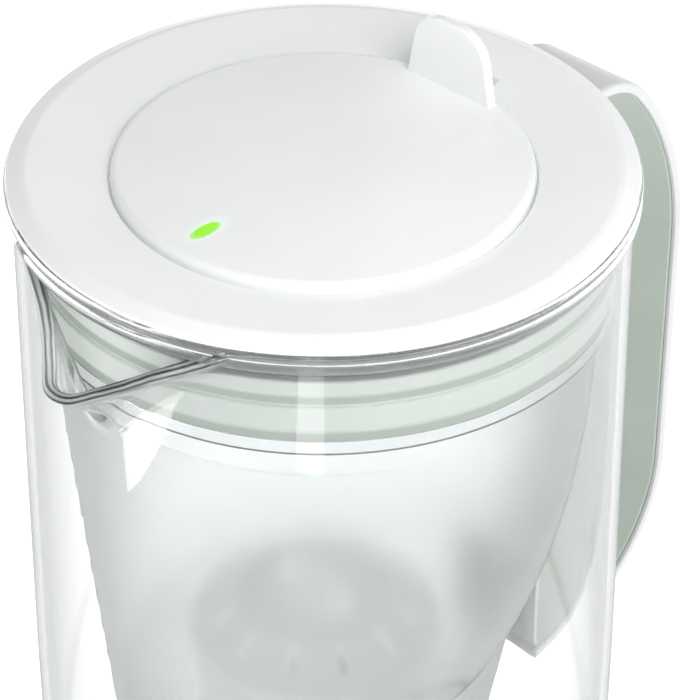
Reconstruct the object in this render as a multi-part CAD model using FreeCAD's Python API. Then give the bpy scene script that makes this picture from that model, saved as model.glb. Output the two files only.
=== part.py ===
import FreeCAD, Part
import math
import os

from FreeCAD import Vector

# Glass water filter pitcher. The origin is on the table at the jug's axis, +Z up.
# The handle is towards +X and the pouring lip towards -X. All lengths are in millimetres.

# Shared values
lid_seat_height = 230.0
cut_overrun = 3.0
same_point = 1e-6

# Glass jug
jug_rim_radius = 70.5
jug_swell = 1.4
jug_taper_share = 0.413
jug_wall = 2.0
jug_floor = 9.0
jug_heel_radius = 10.0
jug_floor_corner_radius = 8.0
jug_rim_round = 0.9

# Pouring lip
spout_overhang = 14.4
spout_tip_drop = 18.4
spout_root_drop = 31.4
spout_half_angle = 34.3
spout_tip_radius = 6.3
spout_scoop_radius = 40.8
spout_scoop_rise = 39.0

# Funnel
flange_shelf = 1.6
flange_band = 5.3
flange_wall = 1.3
flange_clearance = 0.4
band_fit = 0.02
bead_groove = 0.5
bead_round = 0.8
funnel_wall = 2.0
funnel_floor = 2.4
funnel_collar_clearance = 0.3
waist_radius_share = 0.9907
waist_drop_share = 0.1652
shoulder_radius_share = 0.9333
shoulder_drop_share = 0.3496
crease_length_share = 0.893
crease_width_share = 0.665
crease_offset_share = 0.034
crease_drop_share = 0.587
well_length_share = 0.775
well_width_share = 0.583
well_offset_share = 0.054
well_drop_share = 0.752
funnel_drop_share = 0.80
funnel_bottom_round = 4.0
oval_end_share = 0.80

# Collar inside the glass
collar_top_drop = 9.8
collar_height = 16.5
collar_wall = 2.4
collar_glass_clearance = 1.3
collar_groove_depth = 0.7
collar_groove_height = 3.1
collar_groove_drop = 3.9
collar_edge_round = 0.6
collar_seal_height = 3.2
collar_seal_thickness = 1.9
collar_seal_flare = 0.3

# Handle
handle_top_drop = 12.1
handle_projection = 48.1
handle_width = 28.0
handle_root_share = 0.2516
handle_shoulder_share = 0.4574
handle_shoulder_turn = 50.0
handle_foot_share = 0.894
handle_drop_share = 0.8083
cover_depth = 2.8
cover_skin = 1.4
cover_side = 1.3
liner_clearance = 0.1
liner_proud = 0.3
handle_glass_clearance = 0.4
neck_inset = 2.1
neck_top_drop = 5.9
neck_clearance = 0.4
neck_corner_radius = 3.0
pad_height = 31.5
pad_thickness = 1.8
pad_corner_radius = 6.0
screw_radius = 1.2
screw_head_radius = 2.3
screw_head_height = 1.1
screw_length = 6.4
screw_end_clearance = 0.5
screw_spread = 11.0

# Cartridge
cartridge_share = 0.785
cartridge_wall = 1.6
cartridge_outlet_share = 0.7966
cartridge_outlet_length = 25.0
cartridge_body_height = 48.0
cartridge_hole_clearance = 0.6
cartridge_edge_round = 2.0
cartridge_seal_height = 2.0
cartridge_seal_inset = 0.6
media_clearance = 0.2
media_top_room = 6.0
screen_thickness = 0.8
screen_rib_width = 1.6
screen_slot_count = 10
screen_hub_share = 0.25
outlet_slot_count = 8
outlet_slot_width = 2.4
outlet_hub_radius = 6.0
cap_overhang = 1.6
cap_skirt_height = 4.0
cap_rise = 8.0
cap_top_share = 0.644
cap_wall = 1.6
cap_clearance = 0.15
cap_slot_count = 12
cap_slot_width = 2.2
loop_radius = 9.5
loop_rod_radius = 2.0
loop_sink = 0.8

# Lid
lid_overhang = 1.0
lid_edge_height = 0.9
lid_edge_round = 0.5
lid_crest_width = 4.0
lid_crest_rise = 2.3
lid_crest_round = 3.0
lid_dish_drop = 0.9
lid_skin = 1.9
lid_plug_depth = 13.0
lid_plug_wall = 2.0
lid_plug_clearance = 0.8
lid_ledge_width = 3.6
lid_ledge_thickness = 1.8
lid_hole_round = 0.4
lid_seal_height = 2.4
lid_seal_depth = 0.9
lid_seal_drop = 8.0
lid_seal_clearance = 0.45

# Flap and its hinge
flap_share = 0.6741
flap_gap = 0.5
flap_proud = 2.2
flap_depth = 4.8
flap_skin = 2.0
flap_rim_wall = 2.0
flap_edge_round = 1.7
flap_foot_round = 0.6
flap_ledge_gap = 0.3
tab_base_width = 26.2
tab_top_width = 19.4
tab_height = 17.5
tab_thickness = 2.6
tab_corner_radius = 8.8
tab_edge_round = 0.7
tab_inset = 3.3
tab_root_depth = 1.0
hinge_axis_gap = 3.8
hinge_axis_drop = 3.0
hinge_pin_radius = 1.2
hinge_barrel_radius = 2.4
hinge_running_clearance = 0.08
hinge_press_clearance = 0.02
hinge_width_share = 0.1
hinge_arm_thickness = 3.0
hinge_pocket_clearance = 0.4
hinge_side_clearance = 0.5
hinge_pin_hold = 3.0
hinge_boss_wall = 2.2

# Indicator under the flap
module_offset_share = 0.415
module_radius_share = 0.4772
module_wall = 1.8
module_height = 15.3
module_floor = 1.6
module_ear_share = 1.174
module_ear_radius = 3.6
module_ear_thickness = 1.6
module_boss_height = 2.8
module_screw_count = 3
module_seal_width = 0.9
module_seal_height = 0.8
module_screw_bite = 0.5
board_drop = 6.1
board_thickness = 1.2
board_clearance = 0.6
board_ledge = 1.2
light_lean = 2.2
light_length = 8.4
light_width = 3.6
light_foot_length = 5.0
light_foot_width = 2.8
light_clearance = 0.05
light_air = 0.2
led_length = 3.2
led_width = 2.8
led_height = 1.2
cell_step = 5.0
cell_radius = 10.0
cell_height = 3.2
cell_clearance = 0.3
cell_well_wall = 1.4
contact_width = 5.0
contact_thickness = 0.3
contact_rise = 1.0
door_radius = 13.5
door_height = 1.5
door_plug_height = 1.6
door_slot_width = 1.8
door_slot_depth = 0.8
door_slot_length = 16.0
button_wall_gap = 0.7
button_radius = 2.8
button_clearance = 0.3
button_flange_radius = 3.8
button_flange_height = 1.2
button_proud = 0.9
button_travel = 0.8
switch_size = 4.5
switch_height = 1.5

# Jug and collar sizes that follow from the values above
rim_height = lid_seat_height - flange_shelf
jug_body_radius = jug_rim_radius + jug_swell
jug_taper_height = lid_seat_height * jug_taper_share
spout_reach = jug_rim_radius + spout_overhang
jug_inner_rim_radius = jug_rim_radius - jug_wall
jug_inner_radius = jug_body_radius - jug_wall
collar_radius = jug_inner_rim_radius - collar_glass_clearance
collar_top = lid_seat_height - collar_top_drop
collar_bottom = collar_top - collar_height
collar_groove_top = collar_top - collar_groove_drop
collar_groove_bottom = collar_groove_top - collar_groove_height
collar_foot_top = collar_bottom + collar_groove_height

# Funnel sizes
funnel_top_radius = collar_radius - collar_wall - funnel_collar_clearance
waist_radius = funnel_top_radius * waist_radius_share
waist_height = lid_seat_height * (1 - waist_drop_share)
shoulder_radius = funnel_top_radius * shoulder_radius_share
shoulder_height = lid_seat_height * (1 - shoulder_drop_share)
crease_half_length = funnel_top_radius * crease_length_share
crease_half_width = funnel_top_radius * crease_width_share
crease_offset = funnel_top_radius * crease_offset_share
crease_height = lid_seat_height * (1 - crease_drop_share)
well_half_length = funnel_top_radius * well_length_share
well_half_width = funnel_top_radius * well_width_share
well_offset = funnel_top_radius * well_offset_share
well_height = lid_seat_height * (1 - well_drop_share)
funnel_bottom = lid_seat_height * (1 - funnel_drop_share)
well_floor_top = funnel_bottom + funnel_floor

# Handle sizes
handle_top = lid_seat_height - handle_top_drop
handle_bottom = lid_seat_height * (1 - handle_drop_share)
handle_reach = jug_body_radius + handle_projection
handle_root_reach = jug_body_radius + handle_projection * handle_root_share
handle_shoulder_radius = handle_projection * handle_shoulder_share
handle_foot_radius = handle_projection * handle_foot_share
liner_half_width = handle_width / 2 - cover_side - liner_clearance
neck_half_width = liner_half_width - neck_inset

# Cartridge sizes
cartridge_radius = well_half_width * cartridge_share
cartridge_outlet_radius = cartridge_radius * cartridge_outlet_share
cap_top_radius = cartridge_radius * cap_top_share
cartridge_shoulder = well_floor_top + cartridge_seal_height
cartridge_top = cartridge_shoulder + cartridge_body_height
cartridge_bottom = cartridge_shoulder - cartridge_outlet_length

# Lid and flap sizes
lid_outer_radius = jug_rim_radius + lid_overhang
flap_radius = lid_outer_radius * flap_share
lid_hole_radius = flap_radius + flap_gap
lid_inner_top = lid_seat_height - lid_dish_drop
lid_plug_radius = funnel_top_radius - funnel_wall - lid_plug_clearance
flap_top = lid_inner_top + flap_proud
flap_bottom = flap_top - flap_depth
flap_ceiling = flap_top - flap_skin
lid_ledge_top = flap_bottom - flap_ledge_gap
hinge_axis_reach = flap_radius + hinge_axis_gap
hinge_axis_height = lid_seat_height - hinge_axis_drop
hinge_half_width = flap_radius * hinge_width_share
tab_back = flap_radius - tab_inset

# Indicator sizes
module_offset = flap_radius * module_offset_share
module_radius = flap_radius * module_radius_share
module_ear_reach = module_radius * module_ear_share
module_bottom = flap_ceiling - module_height
module_floor_top = module_bottom + module_floor
board_top = flap_ceiling - board_drop
board_bottom = board_top - board_thickness
cell_bottom = module_bottom + door_plug_height
cell_offset = module_offset - cell_step
button_reach = module_radius - module_wall - board_ledge - button_wall_gap - button_flange_radius
button_offset = module_offset + button_reach
light_offset = button_offset + light_lean


def upright(u, v):
    return Vector(u, 0, v)


def level_at(height):
    return lambda u, v: Vector(u, v, height)


def facing_x_at(distance):
    return lambda u, v: Vector(distance, u, v)


def rounded_outline(corners, place):
    """Closed wire through (u, v, radius) corners, each rounded by an arc of its radius."""
    points = [place(u, v) for u, v, radius in corners]
    edges = []
    first = last = None
    for index, (u, v, radius) in enumerate(corners):
        here = points[index]
        back = (points[index - 1] - here).normalize()
        ahead = (points[(index + 1) % len(points)] - here).normalize()
        half_angle = back.getAngle(ahead) / 2
        reach = radius / math.tan(half_angle)
        start = here + back * reach
        end = here + ahead * reach
        if last is None:
            first = start
        elif (start - last).Length > same_point:
            edges.append(Part.makeLine(last, start))
        if radius > 0:
            inward = (back + ahead).normalize()
            middle = here + inward * (radius / math.sin(half_angle) - radius)
            edges.append(Part.Arc(start, middle, end).toShape())
        last = end
    if (first - last).Length > same_point:
        edges.append(Part.makeLine(last, first))
    return Part.Wire(edges)


def revolved(corners):
    face = Part.Face(rounded_outline(corners, upright))
    return face.revolve(Vector(), Vector(0, 0, 1), 360)


def prism(corners, place, direction):
    return Part.Face(rounded_outline(corners, place)).extrude(direction)


def cylinder(radius, bottom, top, x=0, y=0):
    return Part.makeCylinder(radius, top - bottom, Vector(x, y, bottom))


def tube(inner, outer, bottom, top, x=0):
    return cylinder(outer, bottom, top, x).cut(cylinder(inner, bottom - cut_overrun, top + cut_overrun, x))


def box(x_span, half_width, z_span):
    corner = Vector(x_span[0], -half_width, z_span[0])
    return Part.makeBox(x_span[1] - x_span[0], 2 * half_width, z_span[1] - z_span[0], corner)


def rod_x(radius, start, end, y, height):
    return Part.makeCylinder(radius, end - start, Vector(start, y, height), Vector(1, 0, 0))


def rod_y(radius, half_length, x, height):
    return Part.makeCylinder(radius, 2 * half_length, Vector(x, -half_length, height), Vector(0, 1, 0))


def turned(shape, angle, x=0):
    copy = shape.copy()
    copy.rotate(Vector(x, 0, 0), Vector(0, 0, 1), angle)
    return copy


def ring_of(shape, count, x=0):
    return [turned(shape, 360 * index / count, x) for index in range(count)]


def jug_radius_at(height):
    """Outer radius of the glass where the wall draws in towards the rim."""
    rise_share = (height - jug_taper_height) / (rim_height - jug_taper_height)
    return jug_body_radius + (jug_rim_radius - jug_body_radius) * rise_share


def jug_body():
    """The round glass body, with a flat base and a rounded rim."""
    return revolved([
        (0, 0, 0),
        (jug_body_radius, 0, jug_heel_radius),
        (jug_body_radius, jug_taper_height, 0),
        (jug_rim_radius, rim_height, jug_rim_round),
        (jug_inner_rim_radius, rim_height, jug_rim_round),
        (jug_inner_radius, jug_taper_height, 0),
        (jug_inner_radius, jug_floor, jug_floor_corner_radius),
        (0, jug_floor, 0),
    ])


def jug_inside():
    return revolved([
        (0, jug_floor, 0),
        (jug_inner_radius, jug_floor, jug_floor_corner_radius),
        (jug_inner_radius, jug_taper_height, 0),
        (jug_inner_rim_radius, rim_height, 0),
        (jug_inner_rim_radius, rim_height + cut_overrun, 0),
        (0, rim_height + cut_overrun, 0),
    ])


def spout_wedge(inset):
    """Leaning wedge with a rounded nose, the form of the lip's channel; inset thins it all round."""
    root_height = lid_seat_height - spout_root_drop
    tip_height = lid_seat_height - spout_tip_drop
    lean = (spout_reach - jug_radius_at(root_height)) / (tip_height - root_height)
    half_angle = math.radians(spout_half_angle)
    nose = spout_tip_radius - inset
    apex = jug_radius_at(root_height) - inset + nose * (1 / math.sin(half_angle) - 1)
    depth = apex - jug_inner_radius / 2
    half_width = depth * math.tan(half_angle)
    rise = rim_height + cut_overrun - root_height
    corners = [(-apex, 0, nose), (depth - apex, half_width, 0), (depth - apex, -half_width, 0)]
    return prism(corners, level_at(root_height), Vector(-lean * rise, 0, rise))


def spout_scoop():
    """Level round bar that scoops the rim down to the tip of the lip."""
    tip_height = lid_seat_height - spout_tip_drop
    run = math.sqrt(spout_scoop_radius ** 2 - spout_scoop_rise ** 2)
    axis_x = -(spout_reach + run)
    return rod_y(spout_scoop_radius, jug_body_radius, axis_x, tip_height + spout_scoop_rise)


def neck_notch(clearance):
    """Prism through the glass wall where the handle's neck passes, open to the rim."""
    half_width = neck_half_width + clearance
    bottom = collar_bottom - clearance
    top = rim_height + cut_overrun
    corners = [
        (-half_width, bottom, neck_corner_radius),
        (half_width, bottom, neck_corner_radius),
        (half_width, top, 0),
        (-half_width, top, 0),
    ]
    return prism(corners, facing_x_at(jug_inner_rim_radius / 2), Vector(jug_body_radius, 0, 0))


def glass_jug():
    lip = spout_wedge(0).cut(jug_inside())
    below_rim = cylinder(2 * jug_body_radius, 0, rim_height)
    glass = jug_body().fuse(lip.common(below_rim)).cut(spout_wedge(jug_wall))
    return glass.cut(spout_scoop()).cut(neck_notch(neck_clearance)).removeSplitter()


def rim_collar():
    inner = collar_radius - collar_wall
    groove = collar_radius - collar_groove_depth
    ring = revolved([
        (inner, collar_bottom, 0),
        (groove, collar_bottom, 0),
        (groove, collar_foot_top, 0),
        (collar_radius, collar_foot_top, collar_edge_round),
        (collar_radius, collar_groove_bottom, collar_edge_round),
        (groove, collar_groove_bottom, 0),
        (groove, collar_groove_top, 0),
        (collar_radius, collar_groove_top, collar_edge_round),
        (collar_radius, collar_top, collar_edge_round),
        (inner, collar_top, collar_edge_round),
    ])
    for side in screw_sides():
        ring = ring.cut(handle_screw(side, liner_clearance))
    return ring


def collar_seal():
    inner = collar_radius - collar_wall + collar_seal_flare
    outer = inner + collar_seal_thickness
    bottom = collar_bottom - collar_seal_height
    return revolved([
        (inner, collar_bottom, 0),
        (outer - collar_seal_flare, collar_bottom, 0),
        (outer + collar_seal_flare, bottom, collar_seal_flare),
        (outer - collar_seal_thickness / 2, bottom, 0),
    ])


def screw_sides():
    return -screw_spread / 2, screw_spread / 2


def handle_screw(side, clearance):
    """Screw through the collar's plain land into the neck; clearance makes its hole."""
    height = (collar_groove_bottom + collar_foot_top) / 2
    seat = collar_radius - collar_wall
    shank_start = seat + screw_head_height
    shank_end = shank_start + screw_length
    shank = rod_x(screw_radius + clearance, shank_start, shank_end, side, height)
    if clearance:
        return shank.fuse(rod_x(screw_head_radius + clearance, seat - cut_overrun, shank_start, side, height))
    return shank.fuse(rod_x(screw_head_radius, seat, shank_start, side, height))


def handle_screws():
    return Part.makeCompound([handle_screw(side, 0) for side in screw_sides()])


def strap_edges(depth):
    """Side path of the handle strap at a depth under its outer face, from neck to foot."""
    turn = math.radians(handle_shoulder_turn)
    away = upright(math.sin(turn), math.cos(turn))
    shoulder = upright(handle_root_reach, handle_top - handle_shoulder_radius)
    bend_reach = handle_root_reach + handle_shoulder_radius * away.x
    handle_flank_radius = (handle_reach - bend_reach) / (1 - away.x)
    flank = shoulder - away * (handle_flank_radius - handle_shoulder_radius)
    foot = upright(handle_reach - handle_foot_radius, handle_bottom + handle_foot_radius)
    half_away = upright(math.sin(turn / 2), math.cos(turn / 2))
    mid_turn = (turn + math.pi / 2) / 2
    flank_away = upright(math.sin(mid_turn), math.cos(mid_turn))
    foot_away = upright(math.sin(math.pi / 4), -math.cos(math.pi / 4))
    shoulder_radius = handle_shoulder_radius - depth
    flank_radius = handle_flank_radius - depth
    foot_radius = handle_foot_radius - depth
    start = upright(jug_inner_rim_radius, handle_top - depth)
    top = shoulder + upright(0, shoulder_radius)
    bend = shoulder + away * shoulder_radius
    flank_end = flank + upright(flank_radius, 0)
    foot_start = foot + upright(foot_radius, 0)
    foot_end = foot - upright(0, foot_radius)
    end = upright(jug_inner_rim_radius, handle_bottom + depth)
    return [
        Part.makeLine(start, top),
        Part.Arc(top, shoulder + half_away * shoulder_radius, bend).toShape(),
        Part.Arc(bend, flank + flank_away * flank_radius, flank_end).toShape(),
        Part.makeLine(flank_end, foot_start),
        Part.Arc(foot_start, foot + foot_away * foot_radius, foot_end).toShape(),
        Part.makeLine(foot_end, end),
    ]


def strap(outer_depth, inner_depth, width):
    """Strap between two depths, cut to follow the glass at both ends."""
    outer = strap_edges(outer_depth)
    inner = strap_edges(inner_depth)
    start = Part.makeLine(outer[0].Vertexes[0].Point, inner[0].Vertexes[0].Point)
    end = Part.makeLine(outer[-1].Vertexes[-1].Point, inner[-1].Vertexes[-1].Point)
    wire = Part.Wire(Part.__sortEdges__(outer + inner + [start, end]))
    solid = Part.Face(wire).extrude(Vector(0, width, 0))
    solid.translate(Vector(0, -width / 2, 0))
    return solid.cut(glass_room())


def glass_room():
    """The jug's outside grown by the gap that the handle keeps from it."""
    gap = handle_glass_clearance
    return revolved([
        (0, -cut_overrun, 0),
        (jug_body_radius + gap, -cut_overrun, 0),
        (jug_body_radius + gap, jug_taper_height, 0),
        (jug_rim_radius + gap, rim_height, 0),
        (jug_rim_radius + gap, rim_height + cut_overrun, 0),
        (0, rim_height + cut_overrun, 0),
    ])


def handle_cover():
    channel_width = handle_width - 2 * cover_side
    channel = strap(cover_skin, cover_depth + cut_overrun, channel_width)
    return strap(0, cover_depth, handle_width).cut(channel).removeSplitter()


def handle_pad():
    """Turned-up end of the liner that rests against the glass."""
    half_width = liner_half_width
    bottom = handle_bottom + cover_skin + liner_clearance
    top = handle_bottom + pad_height
    corners = [
        (-half_width, bottom, 0),
        (half_width, bottom, 0),
        (half_width, top, pad_corner_radius),
        (-half_width, top, pad_corner_radius),
    ]
    face_reach = jug_body_radius + handle_glass_clearance + pad_thickness
    reach = face_reach - jug_inner_radius / 2
    block = prism(corners, facing_x_at(jug_inner_radius / 2), Vector(reach, 0, 0))
    return block.cut(glass_room())


def handle_neck():
    """Block in the rim notch that joins the strap to the collar, with a hollow gusset outside the glass."""
    neck_top = lid_seat_height - neck_top_drop
    strap_top = handle_top - cover_skin - liner_clearance
    reach = jug_rim_radius + handle_glass_clearance
    start = jug_inner_radius / 2
    inner_block = box((start, reach), neck_half_width, (collar_bottom, neck_top))
    inner_block = inner_block.common(cylinder(reach - liner_clearance, 0, lid_seat_height))
    root = box((start, handle_root_reach), neck_half_width, (collar_bottom, strap_top))
    hollow = rod_y(handle_root_reach - reach, handle_width, handle_root_reach, collar_bottom)
    block = inner_block.fuse(root.cut(hollow)).common(neck_notch(0))
    return block.cut(cylinder(collar_radius + liner_clearance, 0, lid_seat_height))


def handle_liner():
    liner = strap(cover_skin + liner_clearance, cover_depth + liner_proud, 2 * liner_half_width)
    liner = liner.fuse(handle_pad()).fuse(handle_neck())
    tip_room = Vector(screw_end_clearance, 0, 0)
    for side in screw_sides():
        hole = handle_screw(side, liner_clearance)
        liner = liner.cut(hole).cut(hole.translated(tip_room))
    return liner.removeSplitter()


def oval(half_length, half_width, offset, height):
    """Level oval of four tangent arcs; equal halves give a circle."""
    if half_length == half_width:
        join_x = join_y = half_length * math.sin(math.pi / 4)
    else:
        end_radius = half_width * oval_end_share
        run = half_length - end_radius
        side_radius = (run ** 2 + half_width ** 2 - end_radius ** 2) / (2 * (half_width - end_radius))
        span = side_radius - end_radius
        join_x = run + end_radius * run / span
        join_y = end_radius * (side_radius - half_width) / span
    place = level_at(height)
    corners = [(join_x, -join_y), (join_x, join_y), (-join_x, join_y), (-join_x, -join_y)]
    middles = [(half_length, 0), (0, half_width), (-half_length, 0), (0, -half_width)]
    edges = []
    for index, middle in enumerate(middles):
        ends = corners[index], corners[(index + 1) % len(corners)]
        points = [place(u - offset, v) for u, v in (ends[0], middle, ends[1])]
        edges.append(Part.Arc(*points).toShape())
    return Part.Wire(edges)


def hopper(inset, bottom):
    """Round hopper that narrows into an oval well; inset gives its hollow."""
    waist = oval(waist_radius - inset, waist_radius - inset, 0, waist_height)
    shoulder = oval(shoulder_radius - inset, shoulder_radius - inset, 0, shoulder_height)
    crease = oval(crease_half_length - inset, crease_half_width - inset, crease_offset, crease_height)
    well = oval(well_half_length - inset, well_half_width - inset, well_offset, well_height)
    slope = (crease_half_length - well_half_length) / (crease_height - well_height)
    shrink = slope * (well_height - bottom) + inset
    floor = oval(well_half_length - shrink, well_half_width - shrink, well_offset, bottom)
    upper = Part.makeLoft([waist, shoulder, crease], True, False)
    lower = Part.makeLoft([crease, well, floor], True, True)
    return upper.fuse(lower)


def flange():
    """Top of the funnel: a straight mouth and a shelf that hangs on the glass rim."""
    shelf_radius = jug_rim_radius + flange_clearance - band_fit
    return revolved([
        (funnel_top_radius - funnel_wall, lid_seat_height, 0),
        (shelf_radius, lid_seat_height, 0),
        (shelf_radius, rim_height, 0),
        (funnel_top_radius, rim_height, 0),
        (waist_radius, waist_height, 0),
        (waist_radius - funnel_wall, waist_height, 0),
    ])


def rim_band():
    """Band with two beads, clipped round the funnel's shelf and hanging outside the glass rim."""
    inner = jug_rim_radius + flange_clearance
    outer = inner + flange_wall
    bottom = lid_seat_height - flange_band
    middle = lid_seat_height - flange_band / 2
    return revolved([
        (inner, lid_seat_height, 0),
        (outer, lid_seat_height, bead_round),
        (outer, middle + bead_groove, bead_groove),
        (outer - bead_groove, middle, 0),
        (outer, middle - bead_groove, bead_groove),
        (outer, bottom, bead_groove),
        (inner, bottom, 0),
    ])


def funnel():
    outside = hopper(0, funnel_bottom)
    inside = hopper(funnel_wall, well_floor_top)
    hole = cylinder(cartridge_outlet_radius + cartridge_hole_clearance, 0, lid_seat_height / 2, -well_offset)
    bottom_edges = [edge for edge in outside.Edges if edge.BoundBox.ZMax < funnel_bottom + same_point]
    shell = outside.makeFillet(funnel_bottom_round, bottom_edges).cut(inside)
    return shell.fuse(flange()).cut(hole).removeSplitter()


def at_well(shape):
    shape.translate(Vector(-well_offset, 0, 0))
    return shape


def cartridge_shell():
    """Cup with a narrower outlet end that hangs through the well floor."""
    inner = cartridge_radius - cartridge_wall
    outlet_inner = cartridge_outlet_radius - cartridge_wall
    shell = revolved([
        (0, cartridge_bottom, 0),
        (cartridge_outlet_radius, cartridge_bottom, cartridge_edge_round),
        (cartridge_outlet_radius, cartridge_shoulder, 0),
        (cartridge_radius, cartridge_shoulder, cartridge_edge_round),
        (cartridge_radius, cartridge_top, 0),
        (inner, cartridge_top, 0),
        (inner, cartridge_shoulder + cartridge_wall, 0),
        (outlet_inner, cartridge_shoulder + cartridge_wall, 0),
        (outlet_inner, cartridge_bottom + cartridge_wall, 0),
        (0, cartridge_bottom + cartridge_wall, 0),
    ])
    slot_end = outlet_inner - cartridge_edge_round
    slot = box((outlet_hub_radius, slot_end), outlet_slot_width / 2,
               (cartridge_bottom - cut_overrun, cartridge_bottom + cartridge_wall + cut_overrun))
    return at_well(shell.cut(Part.makeCompound(ring_of(slot, outlet_slot_count))))


def screen(radius, bottom):
    """Flat strainer disc with a ring of radial slots."""
    disc = cylinder(radius, bottom, bottom + screen_thickness)
    hub = radius * screen_hub_share
    slot = box((hub, radius - screen_rib_width), screen_rib_width / 2,
               (bottom - cut_overrun, bottom + screen_thickness + cut_overrun))
    return at_well(disc.cut(Part.makeCompound(ring_of(slot, screen_slot_count))))


def outlet_screen():
    radius = cartridge_outlet_radius - cartridge_wall - media_clearance
    return screen(radius, cartridge_bottom + cartridge_wall)


def media_top():
    return cartridge_top - media_top_room


def inlet_screen():
    return screen(cartridge_radius - cartridge_wall - media_clearance, media_top())


def filter_media():
    """The bed of granules, filling the cup between the two screens."""
    wide = cartridge_radius - cartridge_wall - media_clearance
    narrow = cartridge_outlet_radius - cartridge_wall - media_clearance
    step = cartridge_shoulder + cartridge_wall + media_clearance
    bottom = cartridge_bottom + cartridge_wall + screen_thickness
    return at_well(revolved([
        (0, bottom, 0),
        (narrow, bottom, 0),
        (narrow, step, 0),
        (wide, step, 0),
        (wide, media_top(), 0),
        (0, media_top(), 0),
    ]))


def pull_loop(base):
    """Upright half ring on the cap for a finger."""
    ring = Part.makeTorus(loop_radius, loop_rod_radius, Vector(0, 0, base), Vector(1, 0, 0))
    above = box((-loop_radius, loop_radius), 2 * loop_radius, (base - loop_sink, base + 2 * loop_radius))
    return ring.common(above)


def cartridge_cap():
    """Domed cap over the cup's mouth, with intake slots round its slope and a pull loop on top."""
    outer = cartridge_radius + cap_overhang
    skirt_bottom = cartridge_top - cap_skirt_height
    cap_top = cartridge_top + cap_wall + cap_rise
    under_top = cap_top - cap_wall
    cap = revolved([
        (0, cap_top, 0),
        (cap_top_radius, cap_top, cartridge_edge_round),
        (outer, cartridge_top + cap_wall, cartridge_edge_round),
        (outer, skirt_bottom, 0),
        (cartridge_radius + cap_clearance, skirt_bottom, 0),
        (cartridge_radius + cap_clearance, cartridge_top, 0),
        (cartridge_radius - cap_wall, cartridge_top, 0),
        (cap_top_radius - cap_wall, under_top, 0),
        (0, under_top, 0),
    ])
    slot = box((cap_top_radius + cap_wall, cartridge_radius - 2 * cap_wall), cap_slot_width / 2,
               (cartridge_top - cut_overrun, cap_top + cut_overrun))
    cap = cap.cut(Part.makeCompound(ring_of(slot, cap_slot_count)))
    return at_well(cap.fuse(pull_loop(cap_top)))


def cartridge_seal():
    inner = cartridge_outlet_radius + cartridge_hole_clearance
    outer = cartridge_radius - cartridge_seal_inset
    return at_well(tube(inner, outer, well_floor_top, cartridge_shoulder))


def lid_seal_groove(depth):
    top = lid_seat_height - lid_seal_drop
    return tube(lid_plug_radius - lid_seal_depth, lid_plug_radius + depth, top - lid_seal_height, top)


def lid_seal():
    return lid_seal_groove(lid_plug_clearance - lid_seal_clearance)


def hinge_pocket():
    """Room for the flap's hinge barrel and arm, open to the filling hole."""
    half_width = hinge_half_width + hinge_side_clearance
    room = hinge_barrel_radius + hinge_pocket_clearance
    floor = hinge_axis_height - room
    x_span = lid_hole_radius - lid_ledge_width - cut_overrun, hinge_axis_reach + room
    return box(x_span, half_width, (floor, lid_seat_height + lid_crest_rise + cut_overrun))


def hinge_boss():
    """Block under the lid's skin that carries the pin on both sides of the pocket."""
    half_width = hinge_half_width + hinge_side_clearance + hinge_pin_hold + hinge_boss_wall
    reach = hinge_axis_reach + hinge_barrel_radius + hinge_pocket_clearance + hinge_boss_wall
    bottom = hinge_axis_height - hinge_barrel_radius - hinge_pocket_clearance - hinge_boss_wall
    top = lid_inner_top - lid_skin / 2
    block = box((lid_hole_radius - lid_ledge_width, reach), half_width, (bottom, top))
    return block.common(tube(lid_hole_radius, lid_plug_radius, bottom, top))


def lid_blank():
    crest_radius = lid_outer_radius - lid_crest_width
    dish_slope = (lid_crest_rise + lid_dish_drop) / (crest_radius - lid_hole_radius)
    skin_bottom = lid_inner_top - lid_skin
    plug_inner = lid_plug_radius - lid_plug_wall
    plug_bottom = lid_seat_height - lid_plug_depth
    wall_outer = lid_hole_radius + lid_skin
    ledge_inner = lid_hole_radius - lid_ledge_width
    return revolved([
        (lid_outer_radius, lid_seat_height, 0),
        (lid_outer_radius, lid_seat_height + lid_edge_height, lid_edge_round),
        (crest_radius, lid_seat_height + lid_crest_rise, lid_crest_round),
        (lid_hole_radius, lid_inner_top, lid_hole_round),
        (lid_hole_radius, lid_ledge_top, 0),
        (ledge_inner, lid_ledge_top, 0),
        (ledge_inner, lid_ledge_top - lid_ledge_thickness, 0),
        (wall_outer, lid_ledge_top - lid_ledge_thickness, 0),
        (wall_outer, skin_bottom, 0),
        (plug_inner, skin_bottom + dish_slope * (plug_inner - wall_outer), 0),
        (plug_inner, plug_bottom, 0),
        (lid_plug_radius, plug_bottom, 0),
        (lid_plug_radius, lid_seat_height, 0),
    ])


def hinge_pin_length():
    return 2 * (hinge_half_width + hinge_side_clearance + hinge_pin_hold)


def hinge_pin():
    return rod_y(hinge_pin_radius, hinge_pin_length() / 2, hinge_axis_reach, hinge_axis_height)


def lid_ring():
    solid = lid_blank().fuse(hinge_boss()).cut(hinge_pocket())
    pin_hole = rod_y(hinge_pin_radius + hinge_press_clearance, hinge_pin_length() / 2,
                     hinge_axis_reach, hinge_axis_height)
    return solid.cut(pin_hole).cut(lid_seal_groove(cut_overrun)).removeSplitter()


def flap_disc():
    """Shallow round cap with a full rim, hollow below."""
    inner = flap_radius - flap_rim_wall
    return revolved([
        (0, flap_top, 0),
        (flap_radius, flap_top, flap_edge_round),
        (flap_radius, flap_bottom, flap_foot_round),
        (inner, flap_bottom, 0),
        (inner, flap_ceiling, 0),
        (0, flap_ceiling, 0),
    ])


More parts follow.
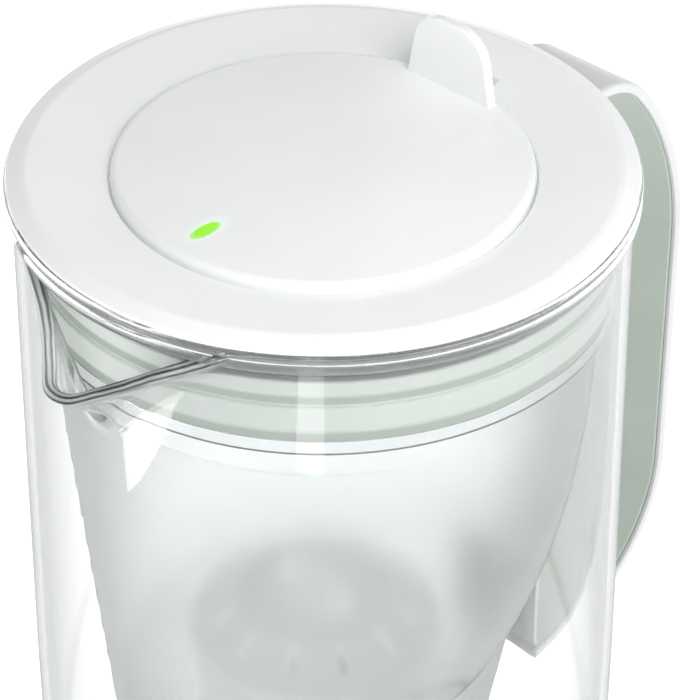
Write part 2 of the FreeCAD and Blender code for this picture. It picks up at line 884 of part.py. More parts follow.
def thumb_tab():
    """Upright fin at the back of the flap, narrower and rounded at its top."""
    top = flap_top + tab_height
    base = flap_top - tab_root_depth
    corners = [
        (-tab_base_width / 2, base, 0),
        (tab_base_width / 2, base, 0),
        (tab_top_width / 2, top, tab_corner_radius),
        (-tab_top_width / 2, top, tab_corner_radius),
    ]
    fin = prism(corners, facing_x_at(tab_back - tab_thickness), Vector(tab_thickness, 0, 0))
    flat_edges = [edge for edge in fin.Edges if edge.BoundBox.XLength < same_point]
    rim_edges = [edge for edge in flat_edges if edge.BoundBox.ZMax > flap_top]
    return fin.makeFillet(tab_edge_round, rim_edges)


def hinge_arm():
    barrel = rod_y(hinge_barrel_radius, hinge_half_width, hinge_axis_reach, hinge_axis_height)
    web_bottom = hinge_axis_height - hinge_arm_thickness / 2
    web = box((tab_back - tab_thickness, hinge_axis_reach), hinge_half_width,
              (web_bottom, web_bottom + hinge_arm_thickness))
    return barrel.fuse(web)


def ear_places():
    """Middles of the housing's screw ears round the module."""
    places = []
    for index in range(module_screw_count):
        angle = 2 * math.pi * index / module_screw_count
        x = module_ear_reach * math.cos(angle) - module_offset
        places.append((x, module_ear_reach * math.sin(angle)))
    return places


def module_screw(place, clearance):
    """Screw up through an ear into its boss; clearance makes its hole."""
    x, y = place
    head_top = flap_ceiling - module_boss_height - module_ear_thickness
    tip = flap_ceiling + module_screw_bite + clearance
    head = cylinder(screw_head_radius, head_top - screw_head_height, head_top, x, y)
    shank = cylinder(screw_radius + clearance, head_top, tip, x, y)
    return shank if clearance else head.fuse(shank)


def housing_screws():
    return Part.makeCompound([module_screw(place, 0) for place in ear_places()])


def light_plug(clearance):
    """Oval window that narrows to a foot over the light; clearance makes its hole."""
    top = oval(light_length / 2 + clearance, light_width / 2 + clearance, light_offset, flap_top)
    foot = oval(light_foot_length / 2 + clearance, light_foot_width / 2 + clearance, button_offset,
                board_top + led_height + light_air)
    return Part.makeLoft([top, foot], True, True)


def light_guide():
    return light_plug(0)


def flap_cover():
    cover = flap_disc().fuse(thumb_tab()).fuse(hinge_arm())
    for x, y in ear_places():
        cover = cover.fuse(cylinder(module_ear_radius, flap_ceiling - module_boss_height, flap_ceiling, x, y))
    for place in ear_places():
        cover = cover.cut(module_screw(place, light_clearance))
    bore = rod_y(hinge_pin_radius + hinge_running_clearance, hinge_pin_length() / 2,
                 hinge_axis_reach, hinge_axis_height)
    return cover.cut(bore).cut(light_plug(light_clearance)).removeSplitter()


def housing_seal():
    middle = module_radius - module_wall / 2
    return tube(middle - module_seal_width / 2, middle + module_seal_width / 2,
                flap_ceiling - module_seal_height, flap_ceiling, -module_offset)


def housing_ears():
    bottom = flap_ceiling - module_boss_height - module_ear_thickness
    root = module_radius - module_wall / 2
    tip = module_ear_reach + module_ear_radius
    corners = [
        (root - module_offset, -module_ear_radius, 0),
        (tip - module_offset, -module_ear_radius, module_ear_radius),
        (tip - module_offset, module_ear_radius, module_ear_radius),
        (root - module_offset, module_ear_radius, 0),
    ]
    ear = prism(corners, level_at(bottom), Vector(0, 0, module_ear_thickness))
    return ring_of(ear, module_screw_count, -module_offset)


def indicator_housing():
    """Cup under the flap with a board ledge, a cell well and the button's hole."""
    inner = module_radius - module_wall
    cup = tube(inner, module_radius, module_bottom, flap_ceiling, -module_offset)
    floor = cylinder(module_radius, module_bottom, module_floor_top, -module_offset)
    ledge = tube(inner - board_ledge, inner + module_wall / 2, module_bottom, board_bottom, -module_offset)
    well_inner = cell_radius + cell_clearance
    well = cylinder(well_inner + cell_well_wall, module_bottom, cell_bottom + cell_height, -cell_offset)
    solid = cup.fuse(floor).fuse(ledge).fuse(well)
    for ear in housing_ears():
        solid = solid.fuse(ear)
    solid = solid.cut(cylinder(well_inner, module_bottom - cut_overrun, board_bottom, -cell_offset))
    solid = solid.cut(cylinder(button_radius + button_clearance, module_bottom - cut_overrun, board_bottom,
                               -button_offset))
    for place in ear_places():
        solid = solid.cut(module_screw(place, light_clearance))
    return solid.cut(housing_seal()).removeSplitter()


def circuit_board():
    inner = module_radius - module_wall
    return cylinder(inner - board_clearance, board_bottom, board_top, -module_offset)


def indicator_led():
    middle = -button_offset
    return box((middle - led_length / 2, middle + led_length / 2), led_width / 2,
               (board_top, board_top + led_height))


def tact_switch():
    middle = -button_offset
    return box((middle - switch_size / 2, middle + switch_size / 2), switch_size / 2,
               (board_bottom - switch_height, board_bottom))


def coin_cell():
    return cylinder(cell_radius, cell_bottom, cell_bottom + cell_height, -cell_offset)


def battery_contact():
    """Spring strip between the board and the cell, bent into a shallow arch."""
    top = board_bottom
    bottom = cell_bottom + cell_height
    reach = cell_radius - contact_width / 2
    corners = [
        (-cell_offset - reach, top, 0),
        (-cell_offset - reach / 2, bottom, contact_rise),
        (-cell_offset + reach / 2, bottom, contact_rise),
        (-cell_offset + reach, top, 0),
        (-cell_offset + reach - contact_thickness, top, 0),
        (-cell_offset + reach / 2 - contact_thickness, bottom + contact_thickness, contact_rise),
        (-cell_offset - reach / 2 + contact_thickness, bottom + contact_thickness, contact_rise),
        (-cell_offset - reach + contact_thickness, top, 0),
    ]
    strip = prism(corners, upright, Vector(0, contact_width, 0))
    strip.translate(Vector(0, -contact_width / 2, 0))
    return strip


def battery_door():
    """Round door with a plug under the cell and a coin slot."""
    plate = cylinder(door_radius, module_bottom - door_height, module_bottom, -cell_offset)
    plug = cylinder(cell_radius, module_bottom, cell_bottom, -cell_offset)
    half_slot = door_slot_length / 2
    slot = box((-cell_offset - half_slot, -cell_offset + half_slot), door_slot_width / 2,
               (module_bottom - door_height - cut_overrun, module_bottom - door_height + door_slot_depth))
    return plate.fuse(plug).cut(slot).removeSplitter()


def reset_button():
    top = board_bottom - switch_height - button_travel - light_air
    stem = cylinder(button_radius, module_bottom - button_proud, top, -button_offset)
    flange_ring = cylinder(button_flange_radius, module_floor_top, module_floor_top + button_flange_height,
                           -button_offset)
    return stem.fuse(flange_ring).removeSplitter()


pieces = [
    glass_jug, rim_collar, collar_seal, handle_liner, handle_cover, handle_screws,
    funnel, rim_band,
    cartridge_shell, cartridge_cap, cartridge_seal, filter_media, inlet_screen, outlet_screen,
    lid_ring, lid_seal, hinge_pin,
    flap_cover, light_guide, indicator_housing, housing_seal, housing_screws,
    circuit_board, indicator_led, tact_switch, coin_cell, battery_contact,
    battery_door, reset_button,
]


def write_parts():
    os.makedirs("parts", exist_ok=True)
    for piece in pieces:
        shape = piece()
        print(piece.__name__, len(shape.Solids), shape.isValid(), round(shape.Volume), shape.BoundBox)
        shape.exportStep("parts/" + piece.__name__ + ".step")


write_parts()
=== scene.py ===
import bpy
import math
import numpy as np
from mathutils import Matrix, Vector


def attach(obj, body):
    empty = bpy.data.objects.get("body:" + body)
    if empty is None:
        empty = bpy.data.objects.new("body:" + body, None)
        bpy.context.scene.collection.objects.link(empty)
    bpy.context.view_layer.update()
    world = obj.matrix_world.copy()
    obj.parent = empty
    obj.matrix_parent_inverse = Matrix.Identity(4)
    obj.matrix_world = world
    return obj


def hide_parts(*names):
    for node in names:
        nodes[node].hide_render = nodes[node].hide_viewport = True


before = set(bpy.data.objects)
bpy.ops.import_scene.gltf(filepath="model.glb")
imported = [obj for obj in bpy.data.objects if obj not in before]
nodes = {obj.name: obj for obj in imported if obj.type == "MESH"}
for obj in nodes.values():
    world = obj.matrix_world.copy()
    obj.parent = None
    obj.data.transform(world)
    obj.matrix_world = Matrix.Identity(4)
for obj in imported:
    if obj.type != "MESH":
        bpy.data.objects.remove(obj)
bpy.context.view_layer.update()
scene = bpy.context.scene
mm = 0.001
print("frame loaded,", len(nodes), "CAD nodes")


# Mesh helpers

def addMesh(name, points, faceSets, sharpAngle):
    # points in millimetres; faceSets are integer arrays, one row of corners for each face
    corners = np.concatenate([f.ravel() for f in faceSets])
    sizes = np.concatenate([np.full(len(f), f.shape[1]) for f in faceSets])
    mesh = bpy.data.meshes.new(name)
    mesh.vertices.add(len(points))
    mesh.vertices.foreach_set("co", (points * mm).astype(np.float32).ravel())
    mesh.loops.add(len(corners))
    mesh.loops.foreach_set("vertex_index", corners.astype(np.int32))
    mesh.polygons.add(len(sizes))
    mesh.polygons.foreach_set("loop_start", (np.cumsum(sizes) - sizes).astype(np.int32))
    mesh.update(calc_edges=True)
    mesh.polygons.foreach_set("use_smooth", np.ones(len(sizes), dtype=bool))
    mesh.set_sharp_from_angle(angle=math.radians(sharpAngle))
    piece = bpy.data.objects.new(name, mesh)
    scene.collection.objects.link(piece)
    return piece


def signedVolume(points, faceSets):
    # sum of the tetrahedra from the origin to each face, fanned from the face's first corner
    total = 0.0
    for faces in faceSets:
        first = points[faces[:, 0]]
        for k in range(1, faces.shape[1] - 1):
            here, ahead = points[faces[:, k]], points[faces[:, k + 1]]
            total += np.einsum("ij,ij->", first, np.cross(here, ahead))
    return total


def skin(name, grid, ends, sharpAngle):
    # grid[row, column] of points; columns close round, rows close too ("loop"), end in flat caps ("caps"),
    # or end in a middle point each ("poles")
    rows, cols = grid.shape[:2]
    points = grid.reshape(-1, 3)
    r = np.arange(rows if ends == "loop" else rows - 1)[:, None]
    c = np.arange(cols)[None, :]
    rNext, cNext = (r + 1) % rows, (c + 1) % cols
    quads = np.stack([r * cols + c, r * cols + cNext, rNext * cols + cNext, rNext * cols + c], -1)
    faceSets = [quads.reshape(-1, 4)]
    ring = np.arange(cols)
    lastRing = ring + (rows - 1) * cols
    if ends == "caps":
        faceSets += [ring[::-1][None, :], lastRing[None, :]]
    if ends == "poles":
        points = np.vstack([points, grid[0].mean(0), grid[-1].mean(0)])
        pole = rows * cols
        faceSets.append(np.stack([np.full(cols, pole), np.roll(ring, -1), ring], -1))
        faceSets.append(np.stack([np.full(cols, pole + 1), lastRing, np.roll(lastRing, -1)], -1))
    if signedVolume(points, faceSets) < 0:
        faceSets = [f[:, ::-1] for f in faceSets]
    return addMesh(name, points, faceSets, sharpAngle)


def turned(radius, height, theta):
    # rings about the upright axis: radius times cosine and sine of the angle, at the row's height
    return np.stack(np.broadcast_arrays(radius * np.cos(theta), radius * np.sin(theta), height), -1)


def roundedLoop(corners, steps=6, hold=0.25, leastRun=0.01):
    # closed outline through (u, v, radius) corners, each an arc; short straight runs hold the flats beside it
    pts = np.array([c[:2] for c in corners], float)
    radii = [c[2] for c in corners]
    out = []
    for here, back, ahead, radius in zip(pts, np.roll(pts, 1, 0), np.roll(pts, -1, 0), radii):
        a, b = back - here, ahead - here
        la, lb = np.linalg.norm(a), np.linalg.norm(b)
        a, b = a / la, b / lb
        half = math.acos(np.clip(a @ b, -1, 1)) / 2
        reach = radius / math.tan(half)
        near = min(hold, (la / 2 - reach) / 2)
        far = min(hold, (lb / 2 - reach) / 2)
        if near > leastRun:
            out.append(here + a * (reach + near))
        if radius > 0:
            t = np.linspace(0, 1, steps + 1)[:, None]
            middle = here + (a + b) / np.linalg.norm(a + b) * radius / math.sin(half)
            start, end = here + a * reach - middle, here + b * reach - middle
            sweep = math.pi - 2 * half
            out.extend(middle + (np.sin((1 - t) * sweep) * start + np.sin(t * sweep) * end) / math.sin(sweep))
        else:
            out.append(here)
        if far > leastRun:
            out.append(here + b * (reach + far))
    return np.array(out)


def wear(piece, body, slot, material, *replaced):
    # the piece's material, the body it moves with, and the CAD nodes that it stands for
    piece.data.materials.clear()
    piece.data.materials.append(material)
    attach(piece, body)
    if replaced:
        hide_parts(*replaced)


# Shader maths

class Sock:
    # an output socket; arithmetic on it adds Math nodes to the same tree
    def __init__(self, tree, out):
        self.tree = tree
        self.out = out

    def node(self, kind, settings=None, inputs=None, out=0):
        made = self.tree.nodes.new("ShaderNode" + kind)
        for key, value in (settings or {}).items():
            setattr(made, key, value)
        for key, value in (inputs or {}).items():
            if isinstance(value, Sock):
                self.tree.links.new(value.out, made.inputs[key])
            else:
                made.inputs[key].default_value = value
        return Sock(self.tree, made.outputs[out])

    def math(self, operation, *values):
        return self.node("Math", {"operation": operation}, dict(enumerate(values)))

    def __add__(self, other):
        return self.math("ADD", self, other)

    def __sub__(self, other):
        return self.math("SUBTRACT", self, other)

    def __rsub__(self, other):
        return self.math("SUBTRACT", other, self)

    def __mul__(self, other):
        return self.math("MULTIPLY", self, other)

    def __truediv__(self, other):
        return self.math("DIVIDE", self, other)

    def __pow__(self, other):
        return self.math("POWER", self, other)

    __radd__ = __add__
    __rmul__ = __mul__

    def between(self, low, high):
        # 0 below low, 1 above high, smooth between
        settings = {"interpolation_type": "SMOOTHSTEP"}
        return self.node("MapRange", settings, {"Value": self, "From Min": low, "From Max": high})

    def axis(self, name):
        return self.node("SeparateXYZ", None, {"Vector": self}, name)

    def stretched(self, *scale):
        return self.node("Mapping", None, {"Vector": self, "Scale": scale})

    def noise(self, perMetre, detail=3.0, rough=0.55):
        inputs = {"Vector": self, "Scale": perMetre, "Detail": detail, "Roughness": rough}
        return self.node("TexNoise", None, inputs)

    def blend(self, first, second):
        # colour mixed by this value
        return self.node("Mix", {"data_type": "RGBA"}, {0: self, 6: first, 7: second}, 2)

    def bump(self, strength, depthMm):
        return self.node("Bump", None, {"Height": self, "Strength": strength, "Distance": depthMm * mm})

    def surface(self, inputs):
        return self.node("BsdfPrincipled", None, inputs)

    def mixed(self, first, second):
        # shaders mixed by this value
        return self.node("MixShader", None, {0: self, 1: first, 2: second})


def tint(r, g, b):
    return (r, g, b, 1.0)


black, white = tint(0, 0, 0), tint(1, 1, 1)


def newFinish(name):
    material = bpy.data.materials.new(name)
    material.use_nodes = True
    tree = material.node_tree
    tree.nodes.clear()
    spot = Sock(tree, tree.nodes.new("ShaderNodeTexCoord").outputs["Object"])
    return material, spot


def closeFinish(material, shader):
    target = material.node_tree.nodes.new("ShaderNodeOutputMaterial")
    material.node_tree.links.new(shader.out, target.inputs["Surface"])
    return material


# Plastics: a little cloudiness in the colour, a fine moulded grain, and patches of handling sheen
plasticLooks = {
    "whiteGloss": dict(light=(0.92, 0.93, 0.935), dark=(0.89, 0.902, 0.91),
                       rough=0.20, spread=0.10, grain=0.04, coat=0.35),
    # the cartridge's white has a painted glow: its own colour as emission, lightening it inside the shaded
    # funnel
    "innerWhitePaintedGlow": dict(light=(0.80, 0.81, 0.81), dark=(0.77, 0.78, 0.78),
                       rough=0.5, spread=0.12, grain=0.08, coat=0.0, glow=0.38),
    "whiteSatin": dict(light=(0.70, 0.71, 0.71), dark=(0.67, 0.68, 0.68),
                       rough=0.34, spread=0.12, grain=0.08, coat=0.1),
    "sageSatin": dict(light=(0.58, 0.655, 0.585), dark=(0.545, 0.62, 0.55),
                      rough=0.42, spread=0.12, grain=0.10, coat=0.0),
    "greySatin": dict(light=(0.48, 0.50, 0.51), dark=(0.42, 0.44, 0.45),
                      rough=0.45, spread=0.12, grain=0.10, coat=0.0),
    "blackSatin": dict(light=(0.03, 0.03, 0.033), dark=(0.018, 0.018, 0.02),
                       rough=0.4, spread=0.12, grain=0.10, coat=0.0),
    "milkyRubber": dict(light=(0.80, 0.83, 0.81), dark=(0.72, 0.76, 0.73),
                        rough=0.5, spread=0.1, grain=0.06, coat=0.0),
    "greyRubber": dict(light=(0.24, 0.26, 0.26), dark=(0.19, 0.205, 0.205),
                       rough=0.62, spread=0.12, grain=0.15, coat=0.0),
}
# shared by all plastics: noise features in a metre, grain depth in millimetres
mould = dict(cloud=28.0, grain=2600.0, handled=75.0, grainDepth=0.05, grainRough=0.05, coatRough=0.08, ior=1.5)


def plasticInputs(spot, look):
    # colour, gloss and grain of a plastic, as inputs of its shader
    cloud = spot.noise(mould["cloud"], 2.0)
    grain = spot.noise(mould["grain"], 2.0)
    handled = spot.noise(mould["handled"], 4.0, 0.65)
    shade = cloud.between(0.3, 0.7).blend(tint(*look["dark"]), tint(*look["light"]))
    rough = look["rough"] + (handled - 0.5) * look["spread"] + (grain - 0.5) * mould["grainRough"]
    return {"Base Color": shade, "Roughness": rough, "IOR": mould["ior"], "Coat Weight": look["coat"],
            "Coat Roughness": mould["coatRough"], "Normal": grain.bump(look["grain"], mould["grainDepth"])}


def plasticFinish(name):
    look = plasticLooks[name]
    material, spot = newFinish(name)
    inputs = plasticInputs(spot, look)
    # a look with a glow gets a painted glow, its colour lit as emission
    inputs.update({"Emission Color": inputs["Base Color"], "Emission Strength": look.get("glow", 0.0)})
    return closeFinish(material, spot.surface(inputs))


# Collar: pale sage with painted shade darkening its groove and its foot step, placed by height in metres
collarLook = dict(light=(0.90, 0.96, 0.91), dark=(0.52, 0.595, 0.53), rough=0.4, spread=0.1, grain=0.06,
                  groove=(0.21325, 0.2163), foot=(0.2030, 0.2067), fadeIn=0.0008, fadeOut=0.0012, waver=0.0004)


def collarFinish():
    material, spot = newFinish("collarSage")
    height = spot.axis("Z") + (spot.noise(60.0, 2.0) - 0.5) * collarLook["waver"]
    grooveShade, footShade = (
        height.between(low, low + collarLook["fadeIn"]) - height.between(high - collarLook["fadeOut"], high)
        for low, high in (collarLook["groove"], collarLook["foot"]))
    grain = spot.noise(mould["grain"], 2.0)
    cloud = spot.noise(mould["cloud"], 2.0)
    # painted shade: the groove and the foot step turn the darker sage
    shade = (grooveShade + footShade).blend(tint(*collarLook["light"]), tint(*collarLook["dark"]))
    rough = collarLook["rough"] + (cloud - 0.5) * collarLook["spread"]
    return closeFinish(material, spot.surface({
        "Base Color": shade, "Roughness": rough, "IOR": mould["ior"],
        "Normal": grain.bump(collarLook["grain"], mould["grainDepth"])}))


def paintedEdgeShade(spot, shader, look):
    # painted edge shade: steep faces turn grey, the shader mixed with a dull grey by the facing angle to a
    # power
    steep = spot.node("LayerWeight", None, {"Blend": 0.5}, "Facing")
    grey = spot.surface({"Base Color": tint(*look["edge"]), "Roughness": 0.6, "Specular IOR Level": 0.0})
    return (steep ** look["edgeShadePower"] * look["edgeShadeShare"]).mixed(shader, grey)


# Glass: clear with slow waves left by the blowing mould, and a trace of handling near the rim; painted shade
# and highlight lines run along the drawn lip, paler ones on the side towards +Y, and the edges get painted grey
# shade; heights and places in metres
glassLook = dict(colour=(0.985, 0.995, 0.99), rough=0.004, ior=1.5, wave=0.05, waveDepth=0.4, touch=0.02,
                 touchZ=(0.19, 0.225), lipPaintedShade=(0.02, 0.021, 0.021), lipPaintedHighlight=(0.42, 0.435, 0.43),
                 palePaintedShade=(0.28, 0.30, 0.29), palePaintedHighlight=(0.90, 0.92, 0.91), paleY=(-0.004, 0.008),
                 lipLines=21.0, lipWander=5.0, lipRough=0.12, lipShare=0.8,
                 edge=(0.34, 0.37, 0.36), edgeShadePower=3.0, edgeShadeShare=0.85)


def glassFinish():
    material, spot = newFinish("jugGlass")
    waves = spot.noise(22.0, 1.0)
    streak = spot.stretched(1.0, 1.0, 0.12).noise(160.0, 2.0)
    touch = spot.noise(60.0, 4.0, 0.7).between(0.55, 0.8) * spot.axis("Z").between(*glassLook["touchZ"])
    clear = spot.surface({
        "Base Color": tint(*glassLook["colour"]), "Roughness": glassLook["rough"] + touch * glassLook["touch"],
        "IOR": glassLook["ior"], "Transmission Weight": 1.0,
        "Normal": (waves * 0.7 + streak * 0.3).bump(glassLook["wave"], glassLook["waveDepth"])})
    onLip, across = (spot.node("Attribute", {"attribute_name": label}, None, "Fac")
                     for label in ("drawnLip", "lipAcross"))
    # painted shade and highlights: dark and light lines across the drawn lip, on an opaque surface that stands
    # in for the thick glass
    phase = across * glassLook["lipLines"] + spot.noise(90.0, 2.0) * glassLook["lipWander"]
    lines = phase.math("SINE", phase) * 0.5 + 0.5
    shade = lines.between(0.2, 0.95).blend(tint(*glassLook["lipPaintedShade"]), tint(*glassLook["lipPaintedHighlight"]))
    pale = lines.between(0.1, 0.8).blend(tint(*glassLook["palePaintedShade"]), tint(*glassLook["palePaintedHighlight"]))
    shade = spot.axis("Y").between(*glassLook["paleY"]).blend(shade, pale)
    drawn = spot.surface({"Base Color": shade, "Roughness": glassLook["lipRough"], "IOR": glassLook["ior"]})
    # painted shade: the wall seen edge on is turned grey
    wall = paintedEdgeShade(spot, clear, glassLook)
    return closeFinish(material, (onLip * glassLook["lipShare"]).mixed(wall, drawn))


# Clear moulded plastic: faintly milky, with flow lines and a fine haze; the crease's heights are in metres
hazeLook = dict(colour=(0.975, 0.985, 0.99), milk=(0.94, 0.955, 0.965), low=(0.72, 0.74, 0.75),
                crease=(0.085, 0.120), ior=1.49, flow=0.06, flowDepth=0.3)
# painted edge shade of the clear plastics
hazeEdgeShade = dict(edge=(0.22, 0.24, 0.25), edgeShadePower=2.5)
clearLooks = {
    "haze": dict(hazeEdgeShade, name="funnelHaze", transmission=0.97, rough=0.16, edgeShadeShare=0.75, tone=1.0),
    "band": dict(hazeEdgeShade, name="bandClear", transmission=0.97, rough=0.06, edgeShadeShare=0.3, tone=0.95),
    "seal": dict(hazeEdgeShade, name="sealClear", transmission=0.9, rough=0.12, edgeShadeShare=0.0, tone=1.0),
}


def hazeFinish(look):
    material, spot = newFinish(look["name"])
    cloud = spot.noise(35.0, 3.0)
    flow = spot.stretched(1.0, 1.0, 0.2).noise(120.0, 2.0)
    grain = spot.noise(1500.0, 2.0)
    plain, milky = (tint(*(c * look["tone"] for c in hazeLook[key])) for key in ("colour", "milk"))
    clear = cloud.between(0.35, 0.75).blend(plain, milky)
    # the funnel is darker below its crease
    shade = spot.axis("Z").between(*hazeLook["crease"]).blend(tint(*hazeLook["low"]), clear)
    shader = spot.surface({
        "Base Color": shade, "Roughness": look["rough"] + (cloud - 0.5) * 0.05 + (grain - 0.5) * 0.02,
        "IOR": hazeLook["ior"], "Transmission Weight": look["transmission"],
        "Normal": (flow * 0.8 + grain * 0.2).bump(hazeLook["flow"], hazeLook["flowDepth"])})
    # painted shade: the wall seen edge on is turned grey
    return closeFinish(material, paintedEdgeShade(spot, shader, look))


# Metals: fine lathe or rolling lines over the base colour
metalLooks = {
    "plainSteel": dict(light=(0.62, 0.63, 0.64), dark=(0.5, 0.51, 0.52), rough=0.3),
    "cellNickel": dict(light=(0.74, 0.745, 0.75), dark=(0.66, 0.67, 0.675), rough=0.22),
    "contactBrass": dict(light=(0.78, 0.62, 0.32), dark=(0.66, 0.5, 0.24), rough=0.26),
}


def metalFinish(name):
    look = metalLooks[name]
    material, spot = newFinish(name)
    lines = spot.stretched(1.0, 0.06, 1.0).noise(3200.0, 2.0)
    stain = spot.noise(180.0, 3.0)
    shade = (lines * 0.5 + stain * 0.5).between(0.35, 0.65).blend(tint(*look["dark"]), tint(*look["light"]))
    return closeFinish(material, spot.surface({
        "Base Color": shade, "Metallic": 1.0, "Roughness": look["rough"] + (lines - 0.5) * 0.2,
        "Normal": lines.bump(0.08, 0.02)}))


# Filter granules: dark and pale beads packed together
granuleLook = dict(perMetre=1100.0, dark=(0.028, 0.027, 0.026), pale=(0.42, 0.39, 0.33))


def granuleFinish():
    material, spot = newFinish("filterGranules")
    inputs = {"Vector": spot, "Scale": granuleLook["perMetre"]}
    cells = spot.node("TexVoronoi", None, inputs)
    which = spot.node("TexVoronoi", None, inputs, "Color").axis("X")
    shade = which.between(0.62, 0.66).blend(tint(*granuleLook["dark"]), tint(*granuleLook["pale"]))
    return closeFinish(material, spot.surface({
        "Base Color": shade, "Roughness": 0.85 - which * 0.2, "Normal": (1 - cells).bump(0.9, 0.4)}))


# Woven strainer: crossed threads
strainerLook = dict(perMetre=420.0, gap=(0.42, 0.43, 0.44), thread=(0.80, 0.81, 0.815))


def meshFinish():
    material, spot = newFinish("strainerMesh")
    across, along = (spot.node("TexWave", {"bands_direction": way},
                               {"Vector": spot, "Scale": strainerLook["perMetre"]}) for way in "XY")
    weave = across.math("MAXIMUM", across, along)
    shade = weave.between(0.35, 0.75).blend(tint(*strainerLook["gap"]), tint(*strainerLook["thread"]))
    return closeFinish(material, spot.surface({
        "Base Color": shade, "Roughness": 0.75 - weave * 0.2, "Normal": weave.bump(0.6, 0.15)}))


# Circuit board: solder mask with copper runs under it
boardLook = dict(perMetre=170.0, run=0.035, mask=(0.012, 0.10, 0.035), copper=(0.03, 0.20, 0.07))


def boardFinish():
    material, spot = newFinish("boardMask")
    inputs = {"Vector": spot, "Scale": boardLook["perMetre"], "Mortar Size": boardLook["run"]}
    runs = spot.node("TexBrick", {"offset": 0.35}, inputs, "Fac")
    weave = spot.noise(900.0, 2.0)
    shade = runs.blend(tint(*boardLook["mask"]), tint(*boardLook["copper"]))
    return closeFinish(material, spot.surface({
        "Base Color": shade, "Roughness": 0.32 + weave * 0.15, "Normal": (runs + weave * 0.2).bump(0.4, 0.04)}))


def fromOval(spot, look):
    # distance from an oval's middle on the X axis, 1 on its edge; sizes in metres
    offX = (spot.axis("X") - look["centre"]) / look["half"][0]
    offY = spot.axis("Y") / look["half"][1]
    return (offX * offX + offY * offY) ** 0.5


# Lit window: brightest along its middle
lightLook = dict(centre=-0.0375, half=(0.0042, 0.0018), rim=(0.80, 0.86, 0.76), core=(0.16, 0.42, 0.02),
                 rimGlow=(0.02, 0.10, 0.0), coreGlow=(0.22, 0.62, 0.01), strength=0.85)


def lightFinish():
    material, spot = newFinish("greenLight")
    speck = spot.noise(1400.0, 2.0)
    lit = 1 - (fromOval(spot, lightLook) + (speck - 0.5) * 0.4).between(0.7, 1.3)
    shade = lit.blend(tint(*lightLook["rim"]), tint(*lightLook["core"]))
    glow = lit.blend(tint(*lightLook["rimGlow"]), tint(*lightLook["coreGlow"]))
    return closeFinish(material, spot.surface({
        "Base Color": shade, "Roughness": 0.2 + speck * 0.1, "Emission Color": glow,
        "Emission Strength": lightLook["strength"]}))


# Flap: the white gloss with a painted green glow round the window, standing for the light's spill
spillLook = dict(centre=-0.0368, half=(0.0046, 0.0022), start=0.7, reach=1.5, colour=(0.10, 0.52, 0.01),
                 strength=0.22)


def flapFinish():
    material, spot = newFinish("flapGloss")
    inputs = plasticInputs(spot, plasticLooks["whiteGloss"])
    fade = 1 - fromOval(spot, spillLook).between(spillLook["start"], spillLook["start"] + spillLook["reach"])
    spill = (fade * fade).blend(black, tint(*spillLook["colour"]))
    inputs.update({"Emission Color": spill, "Emission Strength": spillLook["strength"]})
    return closeFinish(material, spot.surface(inputs))


# Lid ring: the white gloss, with a painted glow in the gap round the flap that lightens its shade; sizes in
# metres
gapPaintedGlow = dict(inside=0.0012, wall=0.0006, fade=0.0001, strength=0.14)
flapRadius = max(corner[1] for corner in nodes["flap_cover"].bound_box)


def lidFinish():
    material, spot = newFinish("lidGloss")
    inputs = plasticInputs(spot, plasticLooks["whiteGloss"])
    x, y = spot.axis("X"), spot.axis("Y")
    radius = (x * x + y * y) ** 0.5
    start, end = flapRadius - gapPaintedGlow["inside"], flapRadius + gapPaintedGlow["wall"]
    gapGlowMask = radius.between(start, flapRadius) * (1 - radius.between(end, end + gapPaintedGlow["fade"]))
    # painted light: the gap round the flap glows white
    inputs.update({"Emission Color": gapGlowMask.blend(black, white), "Emission Strength": gapPaintedGlow["strength"]})
    return closeFinish(material, spot.surface(inputs))


finishes = {name: plasticFinish(name) for name in plasticLooks}
finishes.update({name: metalFinish(name) for name in metalLooks})
finishes.update({key: hazeFinish(look) for key, look in clearLooks.items()})
finishes.update({
    "collar": collarFinish(), "lid": lidFinish(), "flap": flapFinish(), "glass": glassFinish(),
    "granules": granuleFinish(), "mesh": meshFinish(), "board": boardFinish(), "light": lightFinish()})
print("finishes made,", len(finishes))

nodeFinish = {
    "glass_jug": "glass", "rim_collar": "collar", "collar_seal": "seal", "handle_liner": "sageSatin",
    "handle_cover": "whiteSatin", "handle_screws": "plainSteel", "funnel": "haze", "rim_band": "band",
    "cartridge_shell": "innerWhitePaintedGlow", "cartridge_cap": "innerWhitePaintedGlow", "cartridge_seal": "greyRubber",
    "filter_media": "granules", "inlet_screen": "mesh", "outlet_screen": "mesh", "lid_ring": "lid",
    "lid_seal": "milkyRubber", "hinge_pin": "plainSteel", "flap_cover": "flap", "light_guide": "light",
    "indicator_housing": "greySatin", "housing_seal": "greyRubber", "housing_screws": "plainSteel",
    "circuit_board": "board", "indicator_led": "light", "tact_switch": "blackSatin", "coin_cell": "cellNickel",
    "battery_contact": "contactBrass", "battery_door": "greySatin", "reset_button": "greyRubber",
}
for name, finish in nodeFinish.items():
    if name in nodes:
        nodes[name].data.materials.clear()
        nodes[name].data.materials.append(finishes[finish])
print("CAD nodes dressed")


